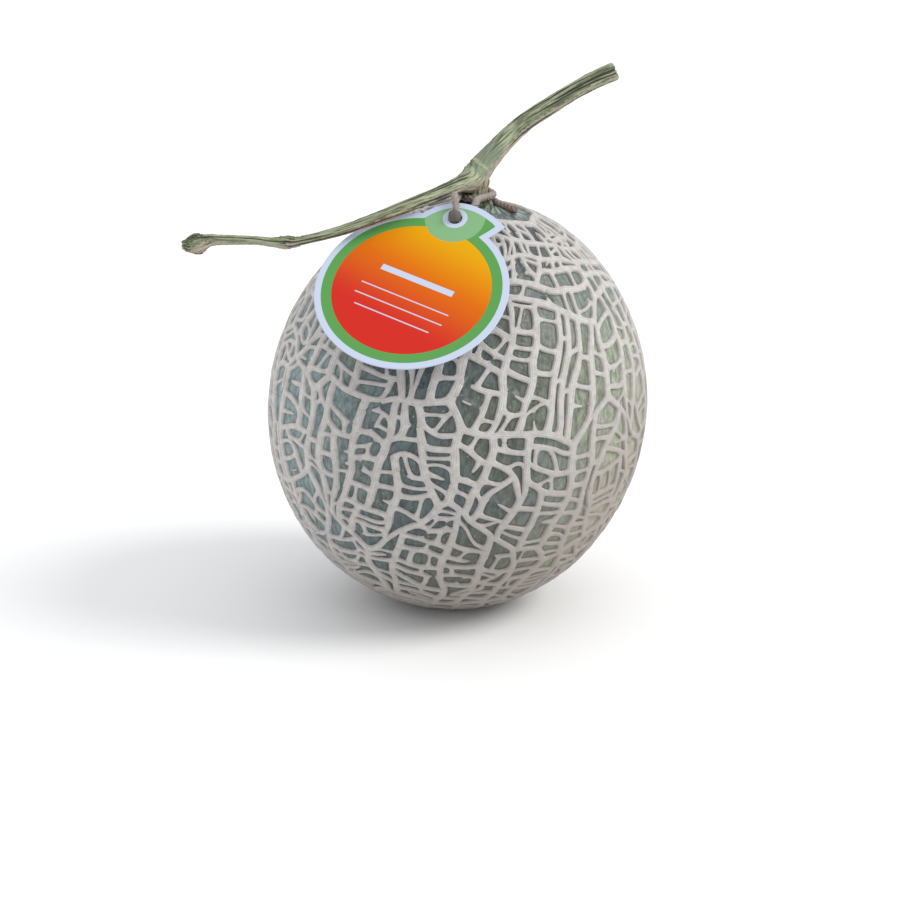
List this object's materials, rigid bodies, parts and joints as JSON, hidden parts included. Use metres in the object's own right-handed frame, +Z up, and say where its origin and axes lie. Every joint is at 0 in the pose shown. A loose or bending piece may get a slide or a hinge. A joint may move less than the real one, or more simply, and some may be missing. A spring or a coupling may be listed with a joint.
{
  "type": "netted melon",
  "caption": "Netted melon as picked, leaning on a small flat spot, with its T-shaped cut vine and a round card tag tied on with twine.",
  "frame": {"origin": "middle of the small flat spot that the fruit rests on", "axes": "+Z up; the fruit's stem end leans to +X; the card tag lies on the shoulder towards -Y; the long arm of the vine reaches to -X"},
  "size_m": [0.1642, 0.145, 0.1983],
  "materials": {
    "rind": "matt grey-green rind under a dry, corky, pale grey net",
    "vine": "dull, dry, ribbed green stem, going brown",
    "card": "smooth card printed in orange and red with a green and a white rim",
    "twine": "soft, hairy, twisted natural fibre"
  },
  "bodies": {
    "root": {"fruit": "rind", "stem": "vine", "tag": "card", "twine": "twine"}
  },
  "joints": []
}
